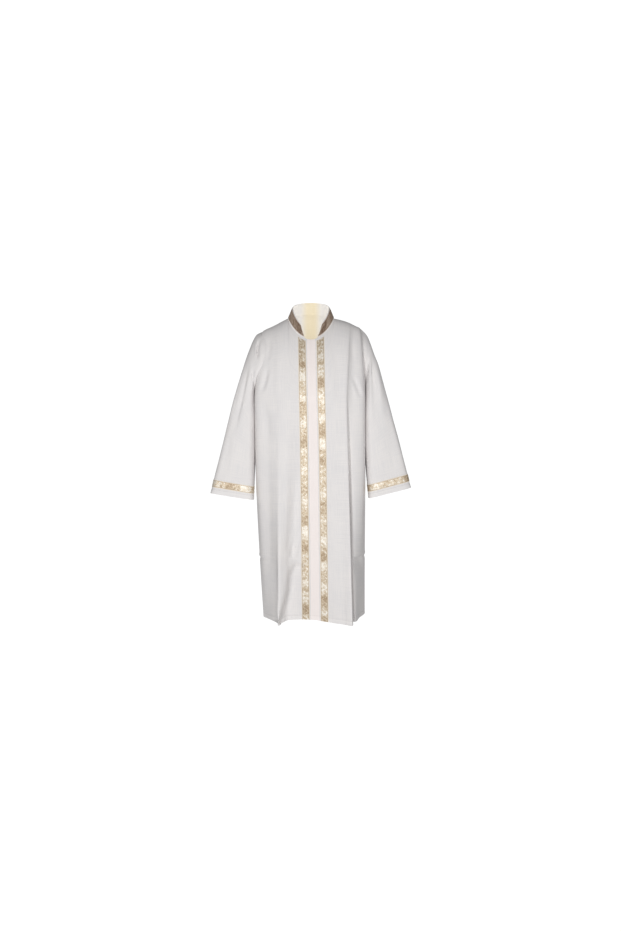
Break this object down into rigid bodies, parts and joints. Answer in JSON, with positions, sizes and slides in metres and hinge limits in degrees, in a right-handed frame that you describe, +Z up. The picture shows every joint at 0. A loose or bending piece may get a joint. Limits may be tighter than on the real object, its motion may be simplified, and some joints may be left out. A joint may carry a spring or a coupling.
{
  "type": "prayer robe",
  "caption": "Shin-length prayer robe with a stand collar, straight open sleeves and gold brocade trim, held in its hollow worn shape.",
  "frame": {"origin": "midway between the two side neck points, at the inner ends of the shoulder seams, where the wearer's shoulders carry the robe", "axes": "+Z up along the worn robe, +X towards the wearer's left side, -Y towards the front opening"},
  "size_m": [0.8295, 0.301, 1.3421],
  "materials": {
    "robe_cloth": "off-white plain-weave cloth with a faint sheen",
    "cream_cloth": "matt cream cotton",
    "gold_brocade": "woven gold and cream brocade ribbon with metallic thread"
  },
  "bodies": {
    "root": {"front_left": "robe_cloth", "front_right": "robe_cloth", "back": "robe_cloth", "underlap": "robe_cloth", "trim_front_left": "gold_brocade", "trim_front_right": "gold_brocade", "collar": "robe_cloth", "trim_collar": "gold_brocade", "collar_lining": "cream_cloth", "neck_facing": "cream_cloth", "sleeve_left": "robe_cloth", "trim_cuff_left": "gold_brocade", "sleeve_right": "robe_cloth", "trim_cuff_right": "gold_brocade"}
  },
  "joints": []
}
